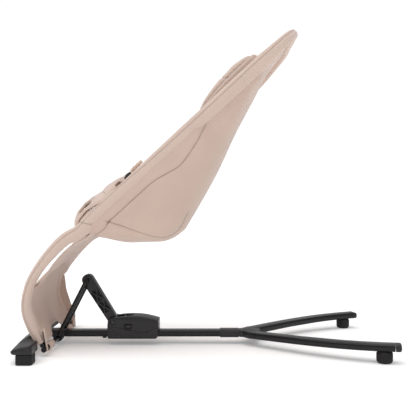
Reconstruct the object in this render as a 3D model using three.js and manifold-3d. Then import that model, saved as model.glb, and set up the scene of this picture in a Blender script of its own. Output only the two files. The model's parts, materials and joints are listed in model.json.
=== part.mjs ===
// Baby bouncer seat: a fabric bucket on a bent tube frame that reclines on a low Y-shaped base.
// Millimetres, +Z up. The foot end is at -X, the head end at +X, and the floor is Z = 0.
import * as THREE from 'three';
import { mergeVertices } from 'three/addons/utils/BufferGeometryUtils.js';
import Module from 'manifold-3d';

const wasm = await Module();
wasm.setup();

// ---- Driving dimensions ----
const lengthShift = 3.5;          // moves the finished part so that its middle is at X = 0
const gap = 0.3;                  // between pieces that touch

const bar = { front: -380, rear: -338, bow: 12, half: 215, bottom: 21, nose: 28, top: 39, capAt: 181 };
const barRecess = { half: 150, rear: -364 };   // the seat's lower tubes swing behind the bar here
const foot = { front: -371, rear: -338, height: 21, inner: 181 };

const beam = { half: 16, bottom: 17, top: 31, front: -317, rear: 62, corner: 4 };
const socket = { front: 31, rear: 73, wall: 1.6, depth: 34 };
const leg = { start: [107, 28.6], startAngle: 41, tip: [370, 195], tipAngle: 15, rise: 8, cap: 12 };
const crotch = 126;                // where the two rear legs part
const rearFoot = { x: 350, y: 190, half: 16, height: 25 };

const hinge = { x: -332.6, z: 15 };            // the seat turns about this line
const crank = { length: 144.7, angle: 63.05, topHalf: 20.5, footHalf: 24, rod: 4.5 };
const link = { length: 109.8, angle: -57.5, half: 12.5, foot: 10.5, depth: 13 };
const hub = { half: 28, front: -220, rear: -106.5, bottom: 14.6, shell: 2 };
const button = { x: -173.8, z: 42.3, length: 13, height: 8 };

const rim = { x: -259.6, z: 277, angle: 43.03, half: 137, roll: 15.5, rollWide: 13 };
const bow = { apex: 599, flat: 60, join: 440, sleeveFrom: 500, roll: 10, depth: 11 };
const tubeRadius = 7;
const crossTube = { radius: 5.5, half: 138, sideTubes: 128 };
const sling = { to: 478, cloth: 5, square: 3.2 };

// ---- Materials ----
const satinBlack = { color: 0x2d2b2d, roughness: 0.42, metalness: 0.1 };
const paintedBlack = { color: 0x262527, roughness: 0.35, metalness: 0.6 };
const softBlack = { color: 0x201f20, roughness: 0.85, metalness: 0 };
const steel = { color: 0x8a8a8c, roughness: 0.35, metalness: 0.9 };
const beige = { color: 0xcdb5a8, roughness: 0.95, metalness: 0 };
const paleBeige = { color: 0xdac6ba, roughness: 0.95, metalness: 0 };
const tan = { color: 0xd5b8a5, roughness: 0.6, metalness: 0 };

const sides = [['left', -1], ['right', 1]];      // the left side is at -Y

const seat = new THREE.Group();
seat.position.x = lengthShift;

function add(name, geometry, look) {
  const mesh = new THREE.Mesh(geometry, new THREE.MeshStandardMaterial(look));
  mesh.name = name;
  seat.add(mesh);
}

// ---- Solids from points and faces ----
const radians = THREE.MathUtils.degToRad;
const vector = (x, y, z) => new THREE.Vector3(x, y, z);

function closedBody(points, faces) {
  const volume = faces.reduce((sum, [a, b, c]) => sum + points[a].dot(points[b].clone().cross(points[c])), 0);
  const order = volume > 0 ? faces.flat() : faces.flatMap(([a, b, c]) => [a, c, b]);
  const body = new THREE.BufferGeometry().setFromPoints(points);
  body.setIndex(order);
  body.computeVertexNormals();
  return body;
}

const quad = (a, b, c, d) => [[a, b, c], [a, c, d]];

function sideFaces(rows, count, start, inward) {
  const faces = [];
  for (let i = 0; i + 1 < rows; i++) {
    for (let j = 0; j < count; j++) {
      const a = start + i * count + j;
      const b = start + i * count + (j + 1) % count;
      faces.push(...(inward ? quad(a, a + count, b + count, b) : quad(a, b, b + count, a + count)));
    }
  }
  return faces;
}

// A solid through closed rings of points, with flat ends.
function loft(ringList) {
  const count = ringList[0].length;
  const points = ringList.flat();
  const faces = sideFaces(ringList.length, count, 0, false);
  for (const [row, turn] of [[0, true], [ringList.length - 1, false]]) {
    const ring = ringList[row];
    const centre = ring.reduce((sum, p) => sum.add(p), vector(0, 0, 0)).divideScalar(count);
    const middle = points.push(centre) - 1;
    for (let j = 0; j < count; j++) {
      const a = row * count + j;
      const b = row * count + (j + 1) % count;
      faces.push(turn ? [b, a, middle] : [a, b, middle]);
    }
  }
  return closedBody(points, faces);
}

// A hollow sleeve, open at both ends, between outer and inner rings.
function sleeve(outer, inner) {
  const count = outer[0].length;
  const rows = outer.length;
  const inside = rows * count;
  const faces = [...sideFaces(rows, count, 0, false), ...sideFaces(rows, count, inside, true)];
  for (let j = 0; j < count; j++) {
    const k = (j + 1) % count;
    const last = (rows - 1) * count;
    faces.push(...quad(k, j, inside + j, inside + k));
    faces.push(...quad(last + j, last + k, inside + last + k, inside + last + j));
  }
  return closedBody([...outer.flat(), ...inner.flat()], faces);
}

// A thick sheet between two grids of points with the same rows and columns.
function thickSheet(outer, inner) {
  const rows = outer.length;
  const columns = outer[0].length;
  const inside = rows * columns;
  const at = (i, j) => i * columns + j;
  const faces = [];
  for (let i = 0; i + 1 < rows; i++) {
    for (let j = 0; j + 1 < columns; j++) {
      const cell = [at(i, j), at(i, j + 1), at(i + 1, j + 1), at(i + 1, j)];
      faces.push(...quad(...cell), ...quad(...cell.reverse().map((k) => k + inside)));
    }
  }
  const edge = [];
  for (let j = 0; j + 1 < columns; j++) {
    edge.push(at(0, j));
  }
  for (let i = 0; i + 1 < rows; i++) {
    edge.push(at(i, columns - 1));
  }
  for (let j = columns - 1; j > 0; j--) {
    edge.push(at(rows - 1, j));
  }
  for (let i = rows - 1; i > 0; i--) {
    edge.push(at(i, 0));
  }
  edge.forEach((p, k) => {
    const q = edge[(k + 1) % edge.length];
    faces.push(...quad(q, p, p + inside, q + inside));
  });
  return closedBody([...outer.flat(), ...inner.flat()], faces);
}

// Rings of an outline carried along a path; the outline's second axis stays near "across".
function carried(path, across, outline) {
  return path.map((point, i) => {
    const before = path[Math.max(i - 1, 0)];
    const after = path[Math.min(i + 1, path.length - 1)];
    const ahead = after.clone().sub(before).normalize();
    const over = ahead.clone().cross(across).normalize();
    const side = over.clone().cross(ahead);
    return outline(i / (path.length - 1)).map(([u, v]) =>
      point.clone().addScaledVector(over, u).addScaledVector(side, v));
  });
}

function circle(radius, sides = 12) {
  return Array.from({ length: sides }, (_, k) => {
    const turn = (2 * Math.PI * k) / sides;
    return [radius * Math.cos(turn), radius * Math.sin(turn)];
  });
}

const rod = (path, across, radius, sides) => loft(carried(path, across, () => circle(radius, sides)));

function roundedRectangle(halfU, halfV, corner, steps = 3) {
  const points = [];
  [[1, 1], [-1, 1], [-1, -1], [1, -1]].forEach(([u, v], k) => {
    for (let i = 0; i <= steps; i++) {
      const turn = (Math.PI / 2) * (k + i / steps);
      points.push([
        u * (halfU - corner) + corner * Math.cos(turn),
        v * (halfV - corner) + corner * Math.sin(turn),
      ]);
    }
  });
  return points;
}

// A side view (x, z points) pushed through the width from y = -half to y = half, with rounded edges.
function slab(outline, halfWidth, edge = 0) {
  const shape = new THREE.Shape(outline.map(([x, z]) => new THREE.Vector2(x, z)));
  const body = new THREE.ExtrudeGeometry(shape, {
    depth: 2 * (halfWidth - edge), bevelEnabled: edge > 0, bevelSize: edge, bevelThickness: edge,
    bevelOffset: -edge, bevelSegments: 2, curveSegments: 8,
  });
  return body.rotateX(Math.PI / 2).translate(0, halfWidth - edge, 0);
}

// A block with rounded upright corners between two heights.
function post(outline, bottom, top, edge = 0) {
  const shape = new THREE.Shape(outline.map(([x, y]) => new THREE.Vector2(x, y)));
  const body = new THREE.ExtrudeGeometry(shape, {
    depth: top - bottom - 2 * edge, bevelEnabled: edge > 0, bevelSize: edge, bevelThickness: edge,
    bevelOffset: -edge, bevelSegments: 2,
  });
  return body.translate(0, 0, bottom + edge);
}

const box = (x0, x1, y0, y1, z0, z1) =>
  new THREE.BoxGeometry(x1 - x0, y1 - y0, z1 - z0).translate((x0 + x1) / 2, (y0 + y1) / 2, (z0 + z1) / 2);
const acrossPin = (x, z, radius, y0, y1, sides = 20) =>
  new THREE.CylinderGeometry(radius, radius, y1 - y0, sides).translate(x, (y0 + y1) / 2, z);

// ---- Cuts and joins ----
function toManifold(geometry) {
  const bare = geometry.clone();
  bare.deleteAttribute('normal');
  bare.deleteAttribute('uv');
  const merged = mergeVertices(bare, 1e-4);
  const vertProperties = new Float32Array(merged.attributes.position.array);
  const triVerts = new Uint32Array(merged.index.array);
  return new wasm.Manifold(new wasm.Mesh({ numProp: 3, vertProperties, triVerts }));
}

function toGeometry(manifold) {
  const { vertProperties, triVerts } = manifold.getMesh();
  const geometry = new THREE.BufferGeometry();
  geometry.setAttribute('position', new THREE.BufferAttribute(new Float32Array(vertProperties), 3));
  geometry.setIndex(new THREE.BufferAttribute(new Uint32Array(triVerts), 1));
  geometry.computeVertexNormals();
  return geometry;
}

const cut = (body, ...tools) =>
  toGeometry(tools.reduce((rest, tool) => rest.subtract(toManifold(tool)), toManifold(body)));
const common = (body, tool) => toGeometry(toManifold(body).intersect(toManifold(tool)));

// ---- Base: front bar, beam, fork and feet ----
function barSection(y, trim = 0) {
  const middle = 1 - (y / bar.half) ** 2;
  const front = bar.front - bar.bow * middle + trim;
  const step = THREE.MathUtils.smoothstep(Math.abs(y), barRecess.half, barRecess.half + 18);
  const rear = THREE.MathUtils.lerp(barRecess.rear, bar.rear, step) - trim;
  const lift = 3 * middle;
  const outline = [
    [rear, bar.bottom],
    [rear, bar.top + lift - 2.5 - trim / 2],
    [rear - 2.5, bar.top + lift - trim / 2],
    [(front + rear) / 2, (bar.nose + bar.top) / 2 + lift + 1.5 - trim / 2],
    [front + 4, bar.nose + 2 + lift / 2],
    [front, bar.nose - 1.5],
    [front, bar.bottom + 3],
    [front + 3, bar.bottom],
  ];
  return outline.map(([x, z]) => vector(x, y, z));
}

function frontBar() {
  const stations = Array.from({ length: 33 }, (_, k) => bar.capAt * (k / 16 - 1));
  add('front_bar', loft(stations.map((y) => barSection(y))), satinBlack);
  for (const [side, sign] of sides) {
    const ends = [[bar.capAt + gap, 0], [208, 0], [212, 1], [214.2, 3], [bar.half, 6]];
    add(`front_bar_cap_${side}`, loft(ends.map(([y, trim]) => barSection(sign * y, trim))), satinBlack);
    const x = (foot.front + foot.rear) / 2;
    const y = sign * (foot.inner + bar.half) / 2;
    const plan = roundedRectangle((foot.rear - foot.front) / 2, (bar.half - foot.inner) / 2, 6)
      .map(([u, v]) => [x + u, y + v]);
    add(`front_foot_${side}`, post(plan, 0, foot.height - gap, 2.5), softBlack);
  }
}

function hingeBlock() {
  const outline = [
    [-360, 22], [-360, 33], [-330, 31.5], [-317.5, 31], [-317.5, 17.5], [-322.6, 15], [-325.5, 8],
    [-332.6, 5.5], [-339.7, 8], [-343, 15], [-348, 21],
  ];
  const bore = acrossPin(hinge.x, hinge.z, crossTube.radius + 0.45, -40, 40, 24);
  add('hinge_block', cut(slab(outline, 15, 1), bore), satinBlack);
  for (const [side, sign] of sides) {
    const y = sign * 7;
    const head = new THREE.CylinderGeometry(3.4, 3.4, 2, 16).rotateX(Math.PI / 2).translate(-355, y, 34.3);
    const slot = box(-358, -352, y - 0.6, y + 0.6, 34.6, 40);
    add(`hinge_block_screw_${side}`, cut(head, slot), steel);
  }
}

const beamOutline = (grow = 0) =>
  roundedRectangle((beam.top - beam.bottom) / 2 + grow, beam.half + grow, beam.corner + grow);

function beamBox(from, to, grow = 0) {
  const height = (beam.top + beam.bottom) / 2;
  const ends = [vector(from, 0, height), vector(to, 0, height)];
  return loft(carried(ends, vector(0, 1, 0), () => beamOutline(grow)));
}

function centreBeam() {
  add('centre_beam', beamBox(beam.front + gap, beam.rear), paintedBlack);
  const stud = new THREE.CylinderGeometry(4, 5, 4.5, 20).rotateX(Math.PI / 2);
  add('stop_stud', stud.translate(-230, 0, beam.bottom - gap - 2.25), softBlack);
  const outer = beamBox(socket.front, socket.rear, socket.wall);
  const inner = beamBox(socket.front - 1, socket.front + socket.depth, gap + 0.1);
  add('fork_socket', cut(outer, inner), satinBlack);
}

// The plan of one rear leg's centre line, heading from the fork to the tip.
function legLine(sign) {
  const [x0, y0] = leg.start;
  const [x1, y1] = leg.tip;
  const reach = 105;
  const out = radians(leg.startAngle);
  const end = radians(leg.tipAngle);
  return new THREE.CubicBezierCurve3(
    vector(x0, sign * y0, 0), vector(x0 + reach * Math.cos(out), sign * (y0 + reach * Math.sin(out)), 0),
    vector(x1 - reach * Math.cos(end), sign * (y1 - reach * Math.sin(end)), 0), vector(x1, sign * y1, 0));
}

const legHeight = (share) => (beam.top + beam.bottom) / 2 + leg.rise * share;

function rearLeg(side, sign) {
  const points = legLine(sign).getPoints(14);
  points.forEach((p, k) => p.setZ(legHeight(k / 14)));
  const outline = () => roundedRectangle(beam.half, (beam.top - beam.bottom) / 2, beam.corner);
  add(`rear_leg_${side}`, loft(carried(points, vector(0, 0, 1), outline)), paintedBlack);
  const tip = points[points.length - 1];
  const ahead = vector(Math.cos(radians(leg.tipAngle)), sign * Math.sin(radians(leg.tipAngle)), 0.03);
  const capPath = [2 * gap, 8.5, 11, leg.cap].map((s) => tip.clone().addScaledVector(ahead, s));
  const trims = [0, 0, 1.2, 3.2];
  const capOutline = (share) => {
    const trim = trims[Math.round(share * 3)];
    return roundedRectangle(beam.half - trim, (beam.top - beam.bottom) / 2 - trim, beam.corner);
  };
  add(`rear_leg_cap_${side}`, loft(carried(capPath, vector(0, 0, 1), capOutline)), satinBlack);
}

function rearFootAt(side, sign) {
  const profile = [
    [0, 0], [10, 0], [13.5, 1.2], [15.6, 4], [rearFoot.half, 8], [rearFoot.half, 20],
    [14, rearFoot.height - 1.5], [0, rearFoot.height - 1.5],
  ];
  const turned = new THREE.LatheGeometry(profile.map(([r, z]) => new THREE.Vector2(r, z)), 24);
  const standing = turned.rotateX(Math.PI / 2);
  add(`rear_foot_${side}`, standing.translate(rearFoot.x, sign * rearFoot.y, 0), softBlack);
}

function forkBlock() {
  const [x0, y0] = leg.start;
  const turn = radians(leg.startAngle);
  const legEnd = (across) => [
    x0 - gap * Math.cos(turn) - across * Math.sin(turn),
    y0 - gap * Math.sin(turn) + across * Math.cos(turn),
  ];
  const half = [
    [socket.rear + gap, beam.half + 1.2], [socket.rear + 9, beam.half + 4],
    legEnd(beam.half), legEnd(-beam.half), [crotch - 3, 7.5],
  ];
  const plan = [...half, [crotch - 4, 0], ...half.slice().reverse().map(([x, y]) => [x, -y])];
  add('fork_block', post(plan, beam.bottom, beam.top, 1.2), satinBlack);
}

function base() {
  frontBar();
  hingeBlock();
  centreBeam();
  forkBlock();
  for (const [side, sign] of sides) {
    rearLeg(side, sign);
    rearFootAt(side, sign);
  }
}

// ---- Linkage: the bail on the seat frame, the link arm and the hub that slides on the beam ----
const stepFrom = ([x, z], length, angle) =>
  [x + length * Math.cos(radians(angle)), z + length * Math.sin(radians(angle))];
const crankTop = stepFrom([hinge.x, hinge.z], crank.length, crank.angle);
const linkFoot = stepFrom(crankTop, link.length, link.angle);

function bail() {
  const up = [Math.cos(radians(crank.angle)), Math.sin(radians(crank.angle))];
  const at = (distance, y) => vector(hinge.x + up[0] * distance, y, hinge.z + up[1] * distance);
  const start = crossTube.radius + 2;
  const bend = 9;
  const corner = (sign) => [0, 0.25, 0.5, 0.75, 1].map((share) => {
    const turn = (Math.PI / 2) * share;
    const wide = crank.topHalf + 2 * (1 - share) - bend + bend * Math.cos(turn);
    return at(crank.length - bend + bend * Math.sin(turn), sign * wide);
  });
  const path = [at(start, -crank.footHalf), ...corner(-1), ...corner(1).reverse(), at(start, crank.footHalf)];
  const normal = vector(-up[1], 0, up[0]);
  add('crank_bail', rod(path, normal, crank.rod, 12), paintedBlack);
}

function linkArm() {
  const ahead = [Math.cos(radians(link.angle)), Math.sin(radians(link.angle))];
  const place = ([u, v]) => [
    crankTop[0] + ahead[0] * u - ahead[1] * v,
    crankTop[1] + ahead[1] * u + ahead[0] * v,
  ];
  const end = (centre, radius, from, to) => Array.from({ length: 9 }, (_, k) => {
    const turn = radians(from + ((to - from) * k) / 8);
    return [centre + radius * Math.cos(turn), radius * Math.sin(turn)];
  });
  const outline = [...end(0, link.half, 90, 270), ...end(link.length, link.foot, -90, 90)].map(place);
  const body = slab(outline, link.depth, 1.5);
  const bores = [acrossPin(...crankTop, crank.rod + 0.45, -40, 40), acrossPin(...linkFoot, 4, -40, 40)];
  const pockets = [];
  const cell = 30;
  const rib = 1.5;
  const wide = 8.5;
  for (const start of [26, 26 + cell]) {
    const [a, b, c] = [start + rib, start + cell - rib, start + cell / 2];
    const narrow = wide - 2 * rib;
    const triangles = [
      [[a, narrow], [a, -narrow], [c - rib, 0]],
      [[b, -narrow], [b, narrow], [c + rib, 0]],
      [[a + rib, -wide], [b - rib, -wide], [c, -rib]],
      [[b - rib, wide], [a + rib, wide], [c, rib]],
    ];
    for (const side of [-1, 1]) {
      const shift = side * (link.depth + 1);
      pockets.push(...triangles.map((three) => slab(three.map(place), 9).translate(0, shift, 0)));
    }
  }
  add('link_arm', cut(body, ...bores, ...pockets), satinBlack);
}

function hubShells() {
  const outline = [
    [-217, hub.bottom], [-113, hub.bottom], [-109.5, 17], [hub.rear, 22], [hub.rear, 54.5], [-113, 56.5],
    [-121, 58.5], [-135, 61.7], [-150, 63.7], [-168, 64.2], [-188, 63.2], [-200, 61.4], [-207, 62.7],
    [-213, 61.3], [-217.5, 57.5], [-219.4, 52], [hub.front, 44], [hub.front, 18],
  ];
  const body = slab(outline, hub.half, hub.shell);
  const split = [
    [-230, 42], [-205, 41], [-185, 37], [-165, 31.5], [-148, 29], [-130, 31.5], [-115, 38], [-95, 47],
  ];
  const below = (lift) => slab([[-230, 0], [-95, 0], ...split.map(([x, z]) => [x, z + lift]).reverse()], 40);
  const above = slab([...split.map(([x, z]) => [x, z + gap / 2]), [-95, 90], [-230, 90]], 40);
  const tunnel = box(-230, -90, -beam.half - 0.6, beam.half + 0.6, beam.bottom - 0.6, beam.top + 0.6);
  const slot = slab([[-230, 33], [-186, 33], [-184, 45], [-184, 90], [-230, 90]], link.depth + 2);
  const tools = [];
  for (const sign of [-1, 1]) {
    const frame = roundedRectangle(8.8, 8, 3).map(([u, v]) => [button.x + u, button.z + v - 1]);
    const well = roundedRectangle(button.length / 2 + 1, button.height / 2 + 1, 2.4)
      .map(([u, v]) => [button.x + u, button.z + v]);
    tools.push(slab(frame, 4).translate(0, sign * (hub.half + 2), 0));
    tools.push(slab(well, 8).translate(0, sign * (hub.half - 2), 0));
    tools.push(acrossPin(...linkFoot, 5.6, ...[sign * 24, sign * 40].sort((a, b) => a - b)));
  }
  const slider = box(-181.5, -164.5, -7.5, 7.5, 59.5, 80);
  add('hub_lower_shell', cut(common(body, below(-gap / 2)), tunnel, slot, ...tools), satinBlack);
  add('hub_upper_shell', cut(common(body, above), tunnel, slot, slider, ...tools), satinBlack);
}

function hubControls() {
  for (const [side, sign] of sides) {
    const outline = roundedRectangle(button.length / 2, button.height / 2, 2)
      .map(([u, v]) => [button.x + u, button.z + v]);
    add(`hub_button_${side}`, slab(outline, 3.2, 0.8).translate(0, sign * (hub.half - 3.6), 0), satinBlack);
    const [y0, y1] = [sign * 24.4, sign * 27.2].sort((a, b) => a - b);
    const head = acrossPin(...linkFoot, 3.9, y0, y1);
    const [x, z] = linkFoot;
    const slot = box(x - 3.2, x + 3.2, sign * 27 - 0.9, sign * 27 + 0.9, z - 0.6, z + 0.6);
    add(`hub_screw_${side}`, cut(head, slot), steel);
  }
  const pad = post(roundedRectangle(5.5, 6.5, 2.5).map(([u, v]) => [-175.5 + u, v]), 60, 66.4, 1);
  add('hub_lock_slider', pad, softBlack);
}

// ---- Seat frame ----
const rimTurn = radians(rim.angle);
// A point of the seat: a distance along the rim, a depth under the rim's upper edge, and y.
const seatPoint = (along, depth, y) => vector(
  rim.x + along * Math.cos(rimTurn) + depth * Math.sin(rimTurn), y,
  rim.z + along * Math.sin(rimTurn) - depth * Math.cos(rimTurn));

// The middle of the side tube from the hinge, round the front curve and up to the rim.
function frontCurve(sign) {
  const shape = [
    [-335.4, 20.2], [-346, 38], [-360, 64], [-369.5, 98], [-361, 146], [-334, 191], [-290, 238.5],
  ];
  const points = shape.map(([x, z], k) => vector(x, sign * (crossTube.sideTubes + k), z));
  points.push(...[-14, 10].map((along) => seatPoint(along, rim.roll, sign * rim.half)));
  return new THREE.CatmullRomCurve3(points, false, 'centripetal');
}

function sideTubePath(sign) {
  const curve = frontCurve(sign).getPoints(24);
  return [...curve, ...[60, 180, 300, bow.join - 2].map((t) => seatPoint(t, rim.roll, sign * rim.half))];
}

function bowPath(from) {
  const radius = rim.half - bow.flat;
  const corner = (sign) => [0, 1, 2, 3, 4, 5, 6].map((k) => {
    const turn = (Math.PI / 2) * (k / 6);
    const along = bow.apex - radius + radius * Math.sin(turn);
    const depth = THREE.MathUtils.lerp(rim.roll, bow.depth, k / 6);
    return seatPoint(along, depth, sign * (bow.flat + radius * Math.cos(turn)));
  });
  const ends = [-1, 1].map((sign) => seatPoint(from, rim.roll, sign * rim.half));
  return [ends[0], ...corner(-1), seatPoint(bow.apex, bow.depth, 0), ...corner(1).reverse(), ends[1]];
}

const rimNormal = vector(-Math.sin(rimTurn), 0, Math.cos(rimTurn));

function seatFrame() {
  const sideways = vector(0, 1, 0);
  for (const [side, sign] of sides) {
    add(`side_tube_${side}`, rod(sideTubePath(sign), sideways, tubeRadius, 12), paintedBlack);
    const [y0, y1] = [sign * (crossTube.half + gap), sign * (crossTube.half + 4)].sort((a, b) => a - b);
    const plug = new THREE.CylinderGeometry(crossTube.radius + 0.3, crossTube.radius + 0.3, y1 - y0, 16);
    add(`cross_tube_plug_${side}`, plug.translate(hinge.x, (y0 + y1) / 2, hinge.z), softBlack);
  }
  add('top_bow_tube', rod(bowPath(bow.join), rimNormal, tubeRadius, 12), paintedBlack);
  const { radius, half } = crossTube;
  add('cross_tube', acrossPin(hinge.x, hinge.z, radius, -half, half), paintedBlack);
}

// ---- Fabric ----
// The outline of a sleeve: "front" and "back" from the tube's middle, and its half width.
function sleeveOutline(front, back, half, sides = 12) {
  return Array.from({ length: sides }, (_, k) => {
    const turn = (2 * Math.PI * k) / sides;
    const u = Math.cos(turn);
    const v = Math.sin(turn);
    return [u * (u > 0 ? front : back), half * Math.sign(v) * Math.abs(v) ** 0.85];
  });
}

function lowerSleeve(side, sign) {
  const path = frontCurve(sign).getPoints(40).filter((_, k) => k > 2 && k < 38 && k % 2 === 1);
  const outer = (share) => {
    const widen = THREE.MathUtils.smoothstep(share, 0.3, 1);
    const lower = 11.8 + (rim.roll - 11.8) * widen;
    return sleeveOutline(lower, lower - 1, rim.rollWide);
  };
  const inner = () => circle(tubeRadius + 1, 12);
  const sideways = vector(0, 1, 0);
  add(`lower_sleeve_${side}`, sleeve(carried(path, sideways, outer), carried(path, sideways, inner)), beige);
}

function rimSleeves() {
  const outline = () => sleeveOutline(rim.roll, rim.roll, rim.rollWide);
  const inner = () => circle(tubeRadius + 0.5, 12);
  const sideways = vector(0, 1, 0);
  for (const [side, sign] of sides) {
    const path = [0, 60, 130, 220, 310, 400, bow.sleeveFrom - gap]
      .map((t) => seatPoint(t, rim.roll, sign * rim.half));
    const rings = [outline, inner].map((section) => carried(path, sideways, section));
    add(`rim_sleeve_${side}`, sleeve(...rings), paleBeige);
  }
  const path = bowPath(bow.sleeveFrom);
  const turned = (outlinePoints) => outlinePoints.map(([u, v]) => [v, u]);
  const topOutline = (share) => {
    const half = THREE.MathUtils.lerp(bow.roll, rim.roll, Math.abs(2 * share - 1) ** 3);
    return turned(sleeveOutline(half, half, rim.rollWide));
  };
  const topInner = () => turned(inner());
  const rings = [topOutline, topInner].map((section) => carried(path, rimNormal, section));
  add('rim_sleeve_top', sleeve(...rings), paleBeige);
}

// Depth of the bucket's underside below the rim, as (along, depth) points.
const underside = new THREE.SplineCurve([
  [-3, 40], [10, 62], [32, 94], [61, 121], [96, 149], [130, 158], [160, 154], [268, 119.5], [373, 78.5],
  [sling.to, 41.5],
].map(([along, depth]) => new THREE.Vector2(along, depth)));

// One row of the bucket across its width, inset from its outside.
function bucketRow(along, depth, inset, columns, share = 1) {
  const edge = 2 * rim.roll + 0.6;
  return Array.from({ length: columns + 1 }, (_, k) => {
    const turn = Math.PI / 2 + (Math.PI / 2) * share * ((2 * k) / columns - 1);
    const [c, s] = [Math.cos(turn), Math.sin(turn)];
    const round = (value) => Math.sign(value) * Math.abs(value) ** (2 / sling.square);
    return seatPoint(along, edge + (depth - edge - inset) * round(s), (rim.half + 2 - inset) * round(c));
  });
}

function bucket() {
  const rows = underside.getPoints(18);
  const outer = rows.map(({ x, y }) => bucketRow(x, y, 0, 18));
  const inner = rows.map(({ x, y }) => bucketRow(x, y, sling.cloth, 18));
  add('seat_sling', thickSheet(outer, inner), beige);
  const padRows = rows.slice(2, 16);
  const under = padRows.map(({ x, y }) => bucketRow(x, y, sling.cloth + 1, 12, 0.66));
  const over = padRows.map(({ x, y }) => bucketRow(x, y, Math.min(sling.cloth + 15, y - 48), 12, 0.66));
  add('seat_pad', thickSheet(under, over), paleBeige);
}

function headPanel() {
  const inner = rim.half - rim.rollWide - 1;
  const start = sling.to + 4;
  const end = bow.apex - rim.rollWide - 3;
  const rows = Array.from({ length: 11 }, (_, k) => start + (k / 10) * (end - start));
  const halfAt = (along) => {
    const radius = rim.half - bow.flat;
    const over = Math.max(0, along - (bow.apex - radius));
    const arm = radius - rim.rollWide - 1;
    return Math.min(inner, bow.flat + Math.sqrt(Math.max(0, arm * arm - over * over)));
  };
  const grid = (depth) => rows.map((along) => Array.from({ length: 9 }, (_, k) =>
    seatPoint(along, depth, halfAt(along) * (k / 4 - 1))));
  add('head_panel', thickSheet(grid(22), grid(16)), beige);
}

function frontPanel() {
  const inset = rim.rollWide + 0.6;
  const path = frontCurve(-1).getPoints(40).filter((_, k) => k > 5 && k % 2 === 0);
  const grid = (offset) => path.map((near, i) => {
    const before = path[Math.max(i - 1, 0)];
    const after = path[Math.min(i + 1, path.length - 1)];
    const ahead = after.clone().sub(before).setY(0).normalize();
    return Array.from({ length: 9 }, (_, k) => {
      const y = (Math.abs(near.y) - inset) * (k / 4 - 1);
      return vector(near.x + ahead.z * offset, y, near.z - ahead.x * offset);
    });
  });
  add('front_panel', thickSheet(grid(1), grid(6)), beige);
}

function hems() {
  for (const [side, sign] of sides) {
    const ends = [sign * 77, sign * 112].map((y) => vector(hinge.x, y, hinge.z));
    const across = vector(0, 0, 1);
    const ring = (radius) => carried(ends, across, () => circle(radius, 16));
    add(`hem_loop_${side}`, sleeve(ring(9), ring(crossTube.radius + 0.5)), beige);
  }
}

// A soft cushion: an egg-shaped ball squashed to size and laid on the seat.
function cushion(along, depth, y, size) {
  const ball = new THREE.SphereGeometry(1, 16, 10).scale(...size);
  const place = new THREE.Matrix4().makeRotationY(-rimTurn);
  return ball.applyMatrix4(place.setPosition(seatPoint(along, depth, y)));
}

function headrest() {
  add('headrest_back', cushion(404, 22, 0, [66, 74, 15]), paleBeige);
  for (const [side, sign] of sides) {
    add(`headrest_wing_${side}`, cushion(424, 0, sign * 97, [80, 20, 22]), paleBeige);
  }
}

function restraint() {
  const rows = [[-24, 2], [-16, 9], [0, 16], [22, 19], [42, 14], [62, 9], [84, 12], [106, 9], [124, 5]];
  const width = (along) => 118 - 40 * THREE.MathUtils.smoothstep(along, 45, 125);
  const grid = (thick) => rows.map(([along, rise]) => Array.from({ length: 13 }, (_, k) => {
    const share = k / 6 - 1;
    const arch = (1 - share * share) * 18 - 8 * Math.abs(share) ** 3;
    return seatPoint(along, -rise - arch + thick, share * width(along));
  }));
  const sheet = thickSheet(grid(0), grid(7));
  const holes = [-1, 1].map((sign) => {
    const shape = new THREE.SphereGeometry(1, 20, 12).scale(23, 33, 60);
    const place = new THREE.Matrix4().makeRotationY(-rimTurn).setPosition(seatPoint(18, -10, sign * 70));
    return shape.applyMatrix4(place);
  });
  add('restraint_panel', cut(sheet, ...holes), paleBeige);
}

function toggles() {
  for (const [side, sign] of sides) {
    const y = sign * 128;
    const path = [147, 157, 168, 178].map((along) => seatPoint(along, -4.5, y));
    add(`toggle_${side}`, rod(path, vector(0, 1, 0), 3, 10), tan);
  }
}

function fabric() {
  sides.forEach(([side, sign]) => lowerSleeve(side, sign));
  rimSleeves();
  bucket();
  headPanel();
  frontPanel();
  hems();
  headrest();
  restraint();
  toggles();
}

base();
bail();
linkArm();
hubShells();
hubControls();
seatFrame();
fabric();

export default seat;
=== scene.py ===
# Looks of the baby bouncer seat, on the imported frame. Metres, +Z up, foot end at -X.
# The seat helpers below count in millimetres, and mesh_of() turns them into metres.
import json
import math

import bmesh
import bpy
import numpy as np
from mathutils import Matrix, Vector, noise


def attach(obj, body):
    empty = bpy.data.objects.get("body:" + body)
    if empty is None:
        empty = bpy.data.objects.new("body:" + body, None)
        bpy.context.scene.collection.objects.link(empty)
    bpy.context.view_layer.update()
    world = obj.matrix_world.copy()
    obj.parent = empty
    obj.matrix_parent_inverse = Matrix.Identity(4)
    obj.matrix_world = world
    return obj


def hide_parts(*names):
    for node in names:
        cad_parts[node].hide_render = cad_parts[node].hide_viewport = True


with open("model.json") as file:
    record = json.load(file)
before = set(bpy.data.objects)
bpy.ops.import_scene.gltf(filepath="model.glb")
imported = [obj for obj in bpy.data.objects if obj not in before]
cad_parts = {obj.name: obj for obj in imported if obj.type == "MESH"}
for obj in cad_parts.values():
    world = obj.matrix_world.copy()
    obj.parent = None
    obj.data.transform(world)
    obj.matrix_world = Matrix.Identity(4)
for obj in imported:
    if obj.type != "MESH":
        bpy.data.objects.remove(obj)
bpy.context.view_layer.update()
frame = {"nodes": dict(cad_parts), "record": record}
nodes = frame["nodes"]
scene = bpy.context.scene
SIDES = (("left", -1), ("right", 1))

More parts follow.
